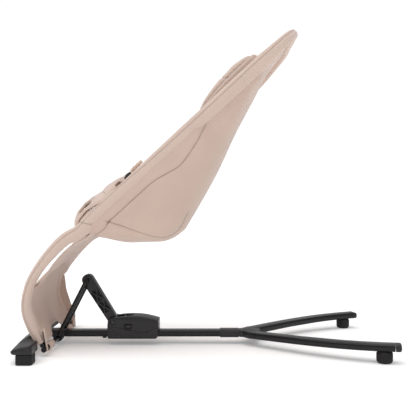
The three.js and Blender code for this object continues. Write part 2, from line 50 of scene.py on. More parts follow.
# ---- Seat geometry, in millimetres ----
SHIFT = 3.5  # from the x that the outlines are given in to the frame's x
TURN = math.radians(43.03)  # the rim's slope
ALONG = np.array([math.cos(TURN), 0.0, math.sin(TURN)])
UP = np.array([-math.sin(TURN), 0.0, math.cos(TURN)])
ACROSS = np.array([0.0, 1.0, 0.0])
# The lower end of the rim's upper edge, the middle of the cross tube, and the top of the bail
RIM_START = np.array([-259.6 + SHIFT, 0.0, 277.0])
HINGE = np.array([-332.6 + SHIFT, 0.0, 15.0])
CRANK_TOP = np.array([-267.02 + SHIFT, 0.0, 143.99])
HALF = 137.0  # from the middle of the seat to the middle of a side tube
ROLL = 15.5  # half height of the padded roll on the rim
ROLL_WIDE = 13.0  # and its half width
APEX, FLAT, CORNER = 599.0, 60.0, 77.0  # the top bow: its end, its straight half, its corner radius
BOW_START = APEX - CORNER
ROUND = 0.625  # the bucket's section is a superellipse with this power


def seat_point(along, depth, y):
    """A point of the seat: a distance along the rim, a depth under its upper edge, and y."""
    along, depth, y = np.broadcast_arrays(*(np.asarray(v, float) for v in (along, depth, y)))
    return RIM_START + along[..., None] * ALONG - depth[..., None] * UP + y[..., None] * ACROSS


def seat_place(points):
    """The other way round: (along, depth, y) of points."""
    off = points - RIM_START
    return off @ ALONG, -(off @ UP), points[..., 1]


def smooth(x, low, high):
    t = np.clip((np.asarray(x, float) - low) / (high - low), 0, 1)
    return t * t * (3 - 2 * t)


def bump(x, width):
    return np.exp(-((np.asarray(x, float) / width) ** 2))


def unit(v):
    return v / np.maximum(np.linalg.norm(v, axis=-1, keepdims=True), 1e-9)


def power(v, k):
    """v to the power k, with its sign kept."""
    return np.sign(v) * np.abs(v) ** k


def respaced(points, step=None, count=None, extra=()):
    """The points of a line, evenly spaced, with any extra columns carried along."""
    gone = np.concatenate([[0], np.cumsum(np.linalg.norm(np.diff(points, axis=0), axis=1))])
    count = count or int(math.ceil(gone[-1] / step)) + 1
    at = np.linspace(0, gone[-1], count)
    columns = [np.interp(at, gone, points[:, k]) for k in range(points.shape[1])]
    return np.stack(columns, axis=1), [np.interp(at, gone, e) for e in extra]


def through(points, count=24, power=0.5):
    """A Catmull-Rom curve through points: power 0.5 is centripetal, 0 is uniform."""
    p = np.asarray(points, float)
    p = np.vstack([2 * p[0] - p[1], p, 2 * p[-1] - p[-2]])
    out = []
    for i in range(1, len(p) - 2):
        a, b, c, d = p[i - 1 : i + 3]
        ab, bc, cd = (max(np.linalg.norm(v), 1e-6) ** power for v in (b - a, c - b, d - c))
        m1 = ((b - a) / ab - (c - a) / (ab + bc) + (c - b) / bc) * bc
        m2 = ((c - b) / bc - (d - b) / (bc + cd) + (d - c) / cd) * bc
        t = np.linspace(0, 1, count, endpoint=False)[:, None]
        out.append(
            (2 * t**3 - 3 * t**2 + 1) * b + (t**3 - 2 * t**2 + t) * m1
            + (3 * t**2 - 2 * t**3) * c + (t**3 - t**2) * m2
        )
    return np.vstack(out + [p[-2:-1]])


def ripple(points, size, seed):
    """Smooth noise from -1 to 1 with lumps of about that size."""
    flat = points.reshape(-1, 3) / size + seed * 7.31
    return np.array([noise.noise(Vector(p)) for p in flat]).reshape(points.shape[:-1])


def front_curve():
    """The middle of the left side tube from the hinge round the front curve to the rim."""
    shape = [(-335.4, 20.2), (-346, 38), (-360, 64), (-369.5, 98), (-361, 146), (-334, 191), (-290, 238.5)]
    points = [np.array([x + SHIFT, -(128.0 + k), z]) for k, (x, z) in enumerate(shape)]
    points += [seat_point(a, ROLL, -HALF) for a in (-14, 10)]
    return through(points)


# ---- Meshes ----
def mesh_of(name, points, faces):
    mesh = bpy.data.meshes.new(name)
    mesh.from_pydata((np.asarray(points).reshape(-1, 3) * 0.001).tolist(), [], faces)
    mesh.polygons.foreach_set("use_smooth", [True] * len(mesh.polygons))
    mesh.update()
    return mesh


def grid_faces(rows, columns, wrap=False):
    faces = []
    for i in range(rows - 1):
        for j in range(columns if wrap else columns - 1):
            a, b = i * columns + j, i * columns + (j + 1) % columns
            faces.append((a, b, b + columns, a + columns))
    return faces


def ring_faces(rows, columns):
    """The faces of rings of points whose last ring also joins the first."""
    last = (rows - 1) * columns
    join = [(last + j, last + (j + 1) % columns, (j + 1) % columns, j) for j in range(columns)]
    return grid_faces(rows, columns, wrap=True) + join


def outward(mesh):
    """Turns every face of a closed mesh to look outwards."""
    work = bmesh.new()
    work.from_mesh(mesh)
    bmesh.ops.recalc_face_normals(work, faces=work.faces)
    work.to_mesh(mesh)
    work.free()
    return mesh


def closed(name, rings):
    """A mesh through rings of points, with a fan of triangles on each end."""
    rings = np.asarray(rings, float)
    rows, count = rings.shape[:2]
    points = np.vstack([rings.reshape(-1, 3), rings[0].mean(0)[None], rings[-1].mean(0)[None]])
    faces = grid_faces(rows, count, wrap=True)
    last = (rows - 1) * count
    for j in range(count):
        k = (j + 1) % count
        faces.append((k, j, rows * count))
        faces.append((last + j, last + k, rows * count + 1))
    return outward(mesh_of(name, points, faces))


def piece(name, mesh, body, material, replaced=()):
    obj = bpy.data.objects.new(name, mesh)
    scene.collection.objects.link(obj)
    mesh.materials.clear()
    mesh.materials.append(material)
    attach(obj, body)
    if replaced:
        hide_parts(*replaced)
    return obj


def thick(obj, millimetres, offset=-1):
    solid = obj.modifiers.new("Cloth thickness", "SOLIDIFY")
    solid.thickness = millimetres * 0.001
    solid.offset = offset
    return obj


def frames_along(path, across):
    """Directions on a path: over it and to its side, with side close to across."""
    ahead = unit(np.gradient(path, axis=0))
    over = unit(np.cross(ahead, across))
    return over, unit(np.cross(over, ahead))


def tube(name, path, radius, sides, across=ACROSS):
    """A round closed tube; radius may be a number or one value a point."""
    path = np.asarray(path, float)
    radius = np.broadcast_to(np.asarray(radius, float), (len(path),)).copy()
    over, side = frames_along(path, across)
    turn = np.linspace(0, 2 * math.pi, sides, endpoint=False)
    ring = np.cos(turn)[:, None, None] * over[None] + np.sin(turn)[:, None, None] * side[None]
    return closed(name, (path[None] + ring * radius[None, :, None]).transpose(1, 0, 2))


# ---- Seam lines, given as (along, depth) ----
def line_field(along, depth, line, fade=5.0):
    """Signed distance to a seam line, and 1 beside it down to 0 past its ends."""
    line = through(line, 8)
    p = np.stack([along, depth], axis=-1)
    best = np.full(along.shape, 1e9)
    signed, mask = np.zeros(along.shape), np.zeros(along.shape)
    for k in range(len(line) - 1):
        a, step = line[k], line[k + 1] - line[k]
        long = np.linalg.norm(step)
        way = ((p - a) @ step) / long**2
        near = a + np.clip(way, 0, 1)[..., None] * step
        far = np.linalg.norm(p - near, axis=-1)
        over = np.maximum(-way if k == 0 else 0, way - 1 if k == len(line) - 2 else 0) * long
        cross = step[0] * (p[..., 1] - a[1]) - step[1] * (p[..., 0] - a[0])
        nearer = far < best
        signed = np.where(nearer, cross / long, signed)
        mask = np.where(nearer, 1 - smooth(over, 0, fade), mask)
        best = np.where(nearer, far, best)
    return signed, mask


def mark_seams(mesh, distances, masks):
    """Writes up to three seam distances (mm) and their masks for the fabric shader, which darkens the seam
    lines as painted shade.
    """
    for name, values in (("seam", distances), ("seam_mask", masks)):
        columns = [np.asarray(v, float).reshape(-1) for v in values]
        columns += [np.zeros(len(mesh.vertices))] * (3 - len(columns))
        data = mesh.attributes.new(name, "FLOAT_VECTOR", "POINT").data
        data.foreach_set("vector", np.stack(columns, axis=1).astype(np.float32).ravel())


# Along the bucket's side, round its bottom, across the roll's lower end, and along the bucket's lower lip
SIDE_SEAM = [(327, 30), (287, 44.5), (236.5, 56), (223, 56), (201, 51), (171.5, 44), (146, 42.6), (102, 42),
             (70, 41.8), (44.4, 41.6)]
BOTTOM_SEAM = [(44.4, 41.6), (59.4, 68.7), (74, 100.5), (91, 130), (105, 143), (127, 149.5), (146, 147.6),
               (168, 139.5)]
CROSS_SEAM = [(0, 0), (15, 21), (44.4, 41.6)]
LIP_SEAM = [(44.4, 41.6), (29.7, 45.3), (8, 43), (-2, 38.6)]


# ---- Materials ----
class Shader:
    """A node material, with short ways to add and join nodes."""

    def __init__(self, name, colour, **sockets):
        self.material = bpy.data.materials.new(name)
        self.material.use_nodes = True
        self.tree = self.material.node_tree
        self.shader = self.tree.nodes["Principled BSDF"]
        self.colour = colour
        for key, value in sockets.items():
            self.shader.inputs[key.replace("_", " ")].default_value = value
        self.place = self.node("ShaderNodeTexCoord").outputs["Object"]

    def node(self, kind, inputs=(), **settings):
        made = self.tree.nodes.new(kind)
        for key, value in settings.items():
            setattr(made, key, value)
        for key, value in dict(inputs).items():
            if isinstance(value, bpy.types.NodeSocket):
                self.tree.links.new(value, made.inputs[key])
            else:
                made.inputs[key].default_value = value
        return made

    def math(self, operation, *values):
        return self.node("ShaderNodeMath", enumerate(values), operation=operation).outputs[0]

    def vector(self, operation, *values):
        made = self.node("ShaderNodeVectorMath", enumerate(values), operation=operation)
        return made.outputs["Value" if operation in ("DOT_PRODUCT", "LENGTH") else "Vector"]

    def cloud(self, scale, detail=3.0, rough=0.55):
        inputs = {"Vector": self.place, "Scale": scale, "Detail": detail, "Roughness": rough}
        return self.node("ShaderNodeTexNoise", inputs).outputs["Fac"]

    def between(self, value, low, high):
        inputs = {"Value": value, "From Min": 0.3, "From Max": 0.7, "To Min": low, "To Max": high}
        return self.node("ShaderNodeMapRange", inputs).outputs["Result"]

    def tint(self, amount):
        """The base colour times a varying amount."""
        scaled = self.node("ShaderNodeVectorMath", {0: self.colour[:3]}, operation="SCALE")
        self.tree.links.new(amount, scaled.inputs["Scale"])
        self.tree.links.new(scaled.outputs["Vector"], self.shader.inputs["Base Color"])

    def relief(self, height, strength, distance):
        inputs = {"Height": height, "Strength": strength, "Distance": distance}
        made = self.node("ShaderNodeBump", inputs)
        self.tree.links.new(made.outputs["Normal"], self.shader.inputs["Normal"])

    def rough(self, value, low, high):
        self.tree.links.new(self.between(value, low, high), self.shader.inputs["Roughness"])


WEAVE, STITCH = 0.0011, 0.0032  # the knit's and the stitches' spacing, in metres


def fabric(name, colour):
    """Fine jersey: a small knit pattern, soft colour clouds, and seams with their stitches; the seam lines
    are darkened as painted shade.
    """
    s = Shader(name, colour, Sheen_Weight=0.35, Sheen_Roughness=0.45, Specular_IOR_Level=0.25)
    broad, fine = s.cloud(14, 4), s.cloud(900, 2)
    knit = 2 * math.pi / WEAVE
    one = s.math("SINE", s.vector("DOT_PRODUCT", s.place, (ALONG * knit).tolist()))
    two = s.math("SINE", s.vector("DOT_PRODUCT", s.place, ((UP + ACROSS) * knit * 0.7).tolist()))
    cloth = s.math("MULTIPLY_ADD", s.math("MULTIPLY", one, two), 0.5, fine)
    off = s.vector("ABSOLUTE", s.node("ShaderNodeAttribute", attribute_name="seam").outputs["Vector"])
    mask = s.node("ShaderNodeAttribute", attribute_name="seam_mask").outputs["Vector"]

    def band(distance, sharp):
        """From 1 on a line to 0 beside it, added up over the three seams."""
        lines = s.vector("SUBTRACT", (1.0,) * 3, s.vector("MULTIPLY", distance, (sharp,) * 3))
        lines = s.vector("MAXIMUM", lines, (0.0,) * 3)
        return s.vector("DOT_PRODUCT", s.vector("MULTIPLY", lines, mask), (1.0,) * 3)

    seam = band(off, 0.8)
    row = band(s.vector("ABSOLUTE", s.vector("SUBTRACT", off, (3.4,) * 3)), 1.8)
    step = s.math("FRACT", s.vector("DOT_PRODUCT", s.place, ((ALONG + ACROSS) / STITCH).tolist()))
    stitch = s.math("MULTIPLY", row, s.math("LESS_THAN", step, 0.62))
    # Painted shade: the colour darkens by up to half on the seam lines, for the shade in their grooves
    shade = s.math("SUBTRACT", 1.0, s.math("MULTIPLY", s.math("MINIMUM", seam, 1.0), 0.5))
    shade = s.math("SUBTRACT", shade, s.math("MULTIPLY", stitch, 0.07))
    clouds = s.math("MULTIPLY", s.between(broad, 0.965, 1.03), s.between(fine, 0.97, 1.03))
    s.tint(s.math("MULTIPLY", shade, clouds))
    s.rough(broad, 0.84, 0.95)
    height = s.math("SUBTRACT", cloth, s.math("MULTIPLY", seam, 2.5))
    s.relief(s.math("MULTIPLY_ADD", stitch, 0.9, height), 0.22, 0.0002)
    return s.material


def moulded(name, colour, low, high, grain=1400, strength=0.12, **sockets):
    """Moulded plastic, rubber, paint or metal: fine grain and faint smudges."""
    s = Shader(name, colour, **sockets)
    broad, fine = s.cloud(22, 4), s.cloud(grain, 2)
    s.tint(s.math("MULTIPLY", s.between(broad, 0.88, 1.14), s.between(fine, 0.93, 1.07)))
    s.rough(s.math("MULTIPLY_ADD", fine, 0.3, s.math("MULTIPLY", broad, 0.7)), low, high)
    s.relief(fine, strength, 0.0002)
    return s.material


BEIGE = fabric("beige_fabric", (0.60, 0.455, 0.383, 1))
# Painted light: the same beige made lighter for the roll, the head sheet and the stuffed pads, whose tops
# face the light
LIT_BEIGE = fabric("pale_fabric", (0.64, 0.497, 0.428, 1))
# Painted shade: a dark brown copy of the fabric for the lap pad's underside, standing in for the shade under
# it
UNDERSIDE_SHADE = fabric("painted_underside_shade", (0.13, 0.09, 0.07, 1))
PLASTIC = moulded("satin_black_plastic", (0.0125, 0.0108, 0.0125, 1), 0.3, 0.4, Specular_IOR_Level=0.38)
PAINT = moulded("painted_black_metal", (0.0065, 0.0062, 0.0072, 1), 0.2, 0.28, 420, 0.05,
                Specular_IOR_Level=0.3)
GLOSS = moulded("black_rod", (0.005, 0.005, 0.0055, 1), 0.2, 0.3, 600, 0.06, Specular_IOR_Level=0.4)
RUBBER = moulded("foot_rubber", (0.011, 0.0095, 0.011, 1), 0.6, 0.75, 700, 0.3, Specular_IOR_Level=0.3)
STEEL = moulded("screw_steel", (0.34, 0.34, 0.35, 1), 0.28, 0.45, 900, 0.1, Metallic=1.0)
# Painted shade: a darker copy of the screw steel, for the shade in the hub screws' recesses
SHADED_STEEL = moulded("screw_steel_painted_shade", (0.06, 0.06, 0.065, 1), 0.3, 0.45, 900, 0.1, Metallic=1.0)
TAN = moulded("tan_plastic", (0.70, 0.525, 0.42, 1), 0.36, 0.48, 800, 0.06)
HOOK = moulded("hook_tape", (0.07, 0.045, 0.034, 1), 0.8, 0.95, 500, 0.9)


# ---- The padded roll that wraps the whole frame ----
def roll_path():
    """The roll's middle line from one foot end round the bow to the other. The second array goes from 0
    at the hinge to 1 where the front curve meets the rim, and stays 1 from there."""
    curve = front_curve()
    share = np.linspace(0, 1, len(curve))
    keep = share > 0.052
    corner = np.linspace(0, math.pi / 2, 40)
    bend = seat_point(BOW_START + CORNER * np.sin(corner), ROLL - 4.5 * corner / (math.pi / 2),
                      -(FLAT + CORNER * np.cos(corner)))
    rail = seat_point(np.linspace(14, 520, 60), ROLL, -HALF)
    flat = seat_point(APEX, 11.0, np.linspace(-58, 0, 10))
    left = np.vstack([curve[keep], rail, bend, flat])
    low = np.concatenate([share[keep], np.ones(len(rail) + len(bend) + len(flat))])
    left, (low,) = respaced(left, step=2.4, extra=(low,))
    right = left[-2::-1] * (1, -1, 1)
    return np.vstack([left, right]), np.concatenate([low, low[-2::-1]])


PIPING = math.radians(305.5)  # where the piping sits on the roll's section


def rim_roll():
    path, low = roll_path()
    gone = np.concatenate([[0], np.cumsum(np.linalg.norm(np.diff(path, axis=0), axis=1))])
    along, _, y = seat_place(path)
    ahead = unit(np.gradient(path, axis=0))
    lower = low < 1
    side = np.where(lower[:, None], -np.sign(y)[:, None] * ACROSS, unit(np.cross(UP, ahead)))
    over = unit(np.cross(ahead, side))
    middle = gone[-1] / 2
    past = np.maximum(0, 203 - np.abs(gone - middle))  # how far round the bow, from where the rails end
    widen = smooth((low - 0.075) / 0.85, 0.3, 1)
    top = np.interp(past, [0, 22, 42, 62, 82, 103, 123, 143, 203],
                    [15.5, 13.9, 12.6, 11.6, 11, 10.5, 10.2, 10, 10])
    front = np.where(lower, 11.8 + 3.7 * widen, top)
    back = np.where(lower, front - 1 + smooth(low, 0.85, 1), top)
    foot = 1 - smooth(low, 0.07, 0.2)
    slim = np.interp(low, [0.0, 0.3, 0.42, 0.5, 0.62, 0.72, 0.88, 1.0], [0, 0, 2.2, 4.2, 4.6, 3.0, 0.6, 0])
    back = back - 3.2 * foot - slim
    half = ROLL_WIDE - 1.5 * foot - 2.2 * smooth(past, 10, 60)
    drift = math.radians(30) * bump(np.where(lower, (low - 1) * 330, along) - 70, 95)
    turn = np.linspace(0, 2 * math.pi, 46, endpoint=False)
    off_piping = lambda angles: (angles + math.pi - PIPING) % (2 * math.pi) - math.pi
    beside = np.array([-9, -6, -4.5, -3, -1.5, 0, 1.5, 3, 4.5, 6, 9]) * math.pi / 180 * 2.2
    turn = np.sort(np.concatenate([turn[np.abs(off_piping(turn)) > math.radians(23)], PIPING + beside]))
    angle = turn[None, :] + drift[:, None] * bump(off_piping(turn)[None, :], 0.9)
    c, s = np.cos(angle), np.sin(angle)
    u = c * np.where(c > 0, front[:, None], back[:, None])
    v = half[:, None] * power(s, 0.88)
    out = unit(np.stack([u, v], axis=-1))
    points = path[:, None] + over[:, None] * u[..., None] + side[:, None] * v[..., None]
    from_piping = (turn[None, :] - PIPING) * 14.0 * np.ones((len(path), 1))
    swell = 1.15 * bump(from_piping, 1.3) - 1.2 * bump(from_piping + 2.6, 1.2)
    seam_at, seam_mask = line_field(*seat_place(points)[:2], CROSS_SEAM)
    outer_side = smooth(np.abs(points[..., 1]) - HALF, -2, 5) * (path[:, 2] > 200)[:, None]
    seam_mask = seam_mask * outer_side
    swell = swell - 1.5 * bump(seam_at, 1.7) * seam_mask
    bend_share = smooth(past, 15, 45) * (1 - smooth(past, 140, 175))
    inner = smooth(v / half[:, None], -0.2, 0.9)
    swell = swell + bend_share[:, None] * inner * 0.55 * np.sin(gone / 4.6)[:, None]
    swell = swell + 0.55 * ripple(points, 55, 1) + 0.28 * ripple(points, 17, 2)
    pull = smooth(low, 0.35, 0.1)[:, None] * lower[:, None]
    swell = swell + pull * 0.7 * np.sin(angle * 5 + 1.5 * ripple(points, 40, 3)) * smooth(-c, -0.3, 0.6)
    points = points + over[:, None] * (out[..., :1] * swell[..., None])
    points = points + side[:, None] * (out[..., 1:] * swell[..., None])
    # Each fold of a mouth: its share of the roll's section, and its step inwards
    fold = ((0.95, -0.9), (0.86, -0.7), (0.80, 1.5), (0.78, 9))
    mouths = []
    for end, step in ((points[0], ahead[0]), (points[-1], -ahead[-1])):
        centre = end.mean(0)
        mouths.append([centre + (end - centre) * k + step * d for k, d in fold])
    rings = np.vstack([np.array(mouths[0][::-1]), points, np.array(mouths[1])])
    mesh = closed("rim_roll", rings)

    def over_all(field, rest):
        """A value for every vertex: the field on the roll, and rest on its mouths and two end points."""
        mouth = np.full(len(fold) * points.shape[1], rest)
        return np.concatenate([mouth, field.ravel(), mouth, [rest, rest]])

    rows = np.ones_like(from_piping)
    hem = np.minimum(gone, gone[-1] - gone)[:, None] * rows - 5.0
    # The shader darkens these lines as painted shade: the cross seam, the groove under the piping and the hem
    # ends
    distances = (seam_at, (from_piping + 2.6) * 0.7, hem)
    masks = (seam_mask, rows * 0.45, rows * 0.5 * (hem < 15))
    mark_seams(mesh, [over_all(d, 9.0) for d in distances], [over_all(m, 0.0) for m in masks])
    replaced = [f"{kind}_{side}" for kind in ("lower_sleeve", "rim_sleeve") for side, _ in SIDES]
    # Painted light: the roll gets the lighter copy of the beige
    roll = piece("rim_roll", mesh, "seat", LIT_BEIGE, replaced + ["rim_sleeve_top"])


# ---- The bucket ----
UNDERSIDE = [(-3, 40), (10, 62), (32, 94), (61, 121), (96, 149), (130, 158), (160, 154), (268, 119.5),
             (373, 78.5), (478, 41.5)]


def bucket_profile():
    """The bucket's underside as (along, depth), from the foot end to the bow."""
    foot = [(-25, 20.5), (-19, 28), (-11, 34.5)]
    head = [(500, 33), (522, 26), (545, 20), (570, 16.5), (588, 14.5)]
    return respaced(np.vstack([foot, through(UNDERSIDE, 30, power=0), head]), count=226)[0]


def bucket():
    along, deep = bucket_profile().T
    wide = np.interp(along, [-26, -10, 12, 300, 332, 480, 522], [134, 136, 148.6, 148.6, 141.5, 139, 136])
    over = np.clip(along - BOW_START, 0, CORNER - 1)
    wide = np.where(along > BOW_START, FLAT + np.sqrt(CORNER**2 - over**2) - 1, wide)
    edge = np.interp(along, [-26, -10, 12, 298, 332, 470, 500, 588], [15, 17, 21.5, 22, 29, 29.5, 20, 12])
    deep = np.maximum(deep, edge + 1)
    fine = np.linspace(0, math.pi, 1500)
    s, c = np.sin(fine), np.cos(fine)
    s, c = s**ROUND, power(-c, ROUND)
    rows = []
    for a, d, w, e in zip(along, deep, wide, edge):
        section = np.stack([w * c, e + (d - e) * s], axis=1)
        section = respaced(section, count=236)[0]
        rows.append(seat_point(a, section[:, 1], section[:, 0]))
    points = np.array(rows)
    a, d, y = seat_place(points)
    normal = unit(np.cross(np.gradient(points, axis=1), np.gradient(points, axis=0)))
    if (normal * (points - points.mean((0, 1)))).sum() < 0:
        normal = -normal
    beside = smooth(np.abs(y), 40, 75)
    fields = [line_field(a, d, line, 14) for line in (SIDE_SEAM, BOTTOM_SEAM, LIP_SEAM)]
    swell = np.zeros_like(a)
    for (off, mask), deepness, broad in zip(fields, (2.0, 2.2, 1.6), (1.6, 2.0, 1.6)):
        swell -= deepness * bump(off, broad) * mask * beside
        swell += 0.7 * bump(np.abs(off) - 7, 4.5) * mask * beside
    hollow = smooth(a, 200, 330) * (1 - smooth(a, 440, 500)) * bump(d - 48, 22) * beside
    swell -= 2.2 * hollow
    swell += 1.5 * bump(np.hypot(a - 300, d - 36), 16) * beside
    notch = np.hypot(a - 326, (d - 31) * 1.3)
    swell -= 2.4 * bump(notch, 6) * beside
    fan = np.sin((d - 56 - (a - 236) * 0.25) / 2.6) * bump(np.hypot((a - 252) / 1.8, d - 57), 13)
    swell += 0.7 * fan * beside
    sit = bump(np.hypot(a - 120, d - 118), 55) * beside
    swell += 2.0 * sit
    swell += 0.85 * ripple(points, 95, 4) + 0.3 * ripple(points, 34, 5)
    drag = ripple(np.stack([a / 5.5, d + (a - 120) * 0.25, y / 8], axis=-1), 9, 6)
    swell += 0.35 * drag * smooth(a, 150, 260)
    swell *= smooth(d - edge[:, None], 0.0, 9)
    points = points + normal * swell[..., None]
    rows_, columns = a.shape
    faces = grid_faces(rows_, columns)
    mesh = mesh_of("bucket_shell", points, faces)
    face_normal = np.array(mesh.polygons[len(faces) // 2].normal)
    if face_normal @ normal[rows_ // 2, columns // 2] < 0:
        mesh.flip_normals()
    mark_seams(mesh, [off for off, _ in fields], [mask * beside for _, mask in fields])
    shell = thick(piece("bucket_shell", mesh, "seat", BEIGE, ["seat_sling"]), 2.2)


def sheet_between(name, points, material, thickness, out, replaced):
    """A stretched sheet on a grid of points, with its front looking towards out."""
    rows, columns = points.shape[:2]
    mesh = mesh_of(name, points, grid_faces(rows, columns))
    if np.array(mesh.polygons[len(mesh.polygons) // 2].normal) @ out < 0:
        mesh.flip_normals()
    obj = thick(piece(name, mesh, "seat", material, replaced), thickness, 0)
    return mesh


def front_sheet():
    near, _ = respaced(front_curve(), count=120)
    over, _ = frames_along(near, ACROSS)
    columns = np.linspace(-1, 1, 91)
    start = 0.02 + 0.065 * (1 - smooth(np.abs(columns), 0.2, 0.5))
    rows = []
    for share in np.linspace(0, 1, 110):
        t = start + (1 - start) * share
        at = t * (len(near) - 1)
        x, yy, z = (np.interp(at, np.arange(len(near)), near[:, k]) for k in range(3))
        ox, oz = (np.interp(at, np.arange(len(near)), over[:, k]) for k in (0, 2))
        y = np.abs(yy) * columns * 0.985
        fold = 0.585 - 0.165 * columns**2
        back = 3.0 + 1.5 * (1 - columns**2) + (10.5 + 3.0 * t) * smooth(t - fold, -0.035, 0.05)
        rows.append(np.stack([x - ox * back, y, z - oz * back], axis=-1))
    points = np.array(rows)
    normal = unit(np.cross(np.gradient(points, axis=1), np.gradient(points, axis=0)))
    z = points[..., 2]
    gather = (1 - smooth(z, 40, 120)) * smooth(np.abs(points[..., 1]), 40, 80)
    folds = gather * 1.6 * np.sin(points[..., 1] / 4.2 + 2 * ripple(points, 60, 8))
    points = points + normal * (folds + 1.1 * ripple(points, 70, 7) + 0.4 * ripple(points, 25, 9))[..., None]
    mesh = sheet_between("front_sheet", points, BEIGE, 1.6, np.array([-1.0, 0, 0]), ["front_panel"])
    rows_, columns_ = points.shape[:2]
    edge = np.linspace(0, 300, rows_)[:, None] * np.ones((1, columns_)) - 6
    mark_seams(mesh, [edge], [(edge < 12) * 0.6])


def head_sheet():
    along = np.linspace(462, 590, 60)
    over = np.clip(along - BOW_START, 0, CORNER - 3)
    half = np.where(along > BOW_START, FLAT + np.sqrt(CORNER**2 - over**2), HALF) - 4
    depth = np.interp(along, [462, 500, 540, 590], [26, 19, 14, 10])
    columns = np.linspace(-1, 1, 81)
    sag = 7 * (1 - columns[None, :] ** 2) * np.sin(np.linspace(0.2, math.pi, 60))[:, None]
    points = seat_point(along[:, None], depth[:, None] + sag, half[:, None] * columns[None, :])
    points = points + UP * (0.8 * ripple(points, 60, 11) + 0.3 * ripple(points, 20, 12))[..., None]
    # Painted light: the head sheet gets the lighter copy of the beige
    sheet_between("head_sheet", points, LIT_BEIGE, 2.0, UP, ["head_panel"])


# ---- Padded pieces, swollen with a cloth simulation ----
def applied(obj):
    """Replaces an object's mesh by the one its modifiers give."""
    made = bpy.data.meshes.new_from_object(obj.evaluated_get(bpy.context.evaluated_depsgraph_get()))
    obj.modifiers.clear()
    obj.data = made
    return made


def coordinates(mesh):
    flat = np.zeros(len(mesh.vertices) * 3)
    mesh.vertices.foreach_get("co", flat)
    return flat.reshape(-1, 3)


def set_coordinates(mesh, points):
    mesh.vertices.foreach_set("co", np.asarray(points, float).ravel())
    mesh.update()


def normals(mesh):
    flat = np.zeros(len(mesh.vertices) * 3)
    mesh.vertices.foreach_get("normal", flat)
    return flat.reshape(-1, 3)


CLOTH_FRAMES = 20


def stuffed(name, mesh, replaced, shrink, voxel, pressure=4.0, cap=0.006):
    """Remeshes a closed shape, blows it up like a stuffed cover, and smooths it. It starts smaller by shrink
    (mm), and no point moves further than cap (m)."""
    # Painted light: the stuffed pads get the lighter copy of the beige
    obj = piece(name, mesh, "seat", LIT_BEIGE, replaced)
    set_coordinates(mesh, coordinates(mesh) - normals(mesh) * shrink * 0.001)
    remesh = obj.modifiers.new("Remesh", "REMESH")
    remesh.mode, remesh.voxel_size = "VOXEL", voxel
    mesh = applied(obj)
    start = coordinates(mesh)
    cloth = obj.modifiers.new("Cloth", "CLOTH")
    settings = cloth.settings
    settings.quality, settings.mass = 6, 0.25
    settings.tension_stiffness = settings.compression_stiffness = settings.shear_stiffness = 22
    settings.bending_stiffness = 1.5
    settings.use_pressure, settings.uniform_pressure_force = True, pressure
    settings.effector_weights.gravity = 0
    cloth.point_cache.frame_start, cloth.point_cache.frame_end = 1, CLOTH_FRAMES
    for step in range(1, CLOTH_FRAMES + 1):
        scene.frame_set(step)
    made = applied(obj)
    move = coordinates(made) - start
    long = np.linalg.norm(move, axis=1, keepdims=True)
    set_coordinates(made, start + move * np.minimum(1, cap / np.maximum(long, 1e-9)))
    scene.frame_set(1)
    obj.modifiers.new("Smooth", "SMOOTH").iterations = 3
    obj.modifiers.new("Subdivision", "SUBSURF").levels = 1
    mesh = applied(obj)
    mesh.polygons.foreach_set("use_smooth", [True] * len(mesh.polygons))
    mesh.materials.clear()
    mesh.materials.append(LIT_BEIGE)
    return mesh


def sew(mesh, fields, deepness, width, puckers):
    """Pulls seams into a padded piece and marks them for the shader."""
    points = coordinates(mesh) * 1000
    swell = 0.35 * ripple(points, 38, 21)
    for off, mask in fields:
        pucker = np.sin(points @ (ALONG + ACROSS) / 1.9) * bump(np.abs(off) - 4, 3)
        swell += mask * (0.5 * bump(np.abs(off) - 6, 4) + puckers * pucker - deepness * bump(off, width))
    set_coordinates(mesh, (points + normals(mesh) * swell[:, None]) * 0.001)
    mark_seams(mesh, [off for off, _ in fields], [mask for _, mask in fields])


def seat_cushion():
    along, deep = bucket_profile().T
    rows = np.flatnonzero((along > 14) & (along < 335))[::3]
    columns = np.linspace(0, 1, 40)
    turn = math.pi / 2 + (math.pi / 2) * 0.66 * (2 * columns - 1)
    c, s = power(-np.cos(turn), ROUND), np.sin(turn) ** ROUND
    top = 31.6  # depth of the cushion's side edges
    layers = []
    for lift in (0, 1):
        layer = []
        for a, d in zip(along[rows], deep[rows]):
            inset = 8.0 if not lift else min(20.0, d - 46.0)
            layer.append(seat_point(a, top + (d - top - inset) * s, (139 - inset) * c))
        layers.append(np.array(layer))
    rings = np.concatenate([layers[0], layers[1][:, ::-1]], axis=1)
    mesh = stuffed("seat_cushion", closed("seat_cushion", rings), ["seat_pad"], shrink=0.5, voxel=0.006)
    a, _, y = seat_place(coordinates(mesh) * 1000)
    rib = ((y + 27) % 54) - 27
    inside = (1 - smooth(np.abs(y), 88, 96)) * smooth(a, 45, 60) * (1 - smooth(a, 310, 325))
    cross = ((a - 150 + 45) % 90) - 45
    between = (1 - smooth(np.abs(y), 100, 108)) * smooth(a, 60, 80) * (a < 320)
    sew(mesh, [(rib, inside), (cross, between)], 1.6, 2.4, 0.15)


def egg(name, along, depth, y, size):
    """A squashed ball on the seat, a little squarer than an egg."""
    square = 0.8
    lat = np.linspace(-math.pi / 2 + 0.06, math.pi / 2 - 0.06, 28)
    turn = np.linspace(0, 2 * math.pi, 32, endpoint=False)
    a = size[0] * power(np.sin(lat), square)[:, None] * np.ones(len(turn))
    out = power(np.cos(lat), square)[:, None]
    down, aside = out * power(np.sin(turn), square), out * power(np.cos(turn), square)
    return closed(name, seat_point(along + a, depth + size[2] * down, y + size[1] * aside))


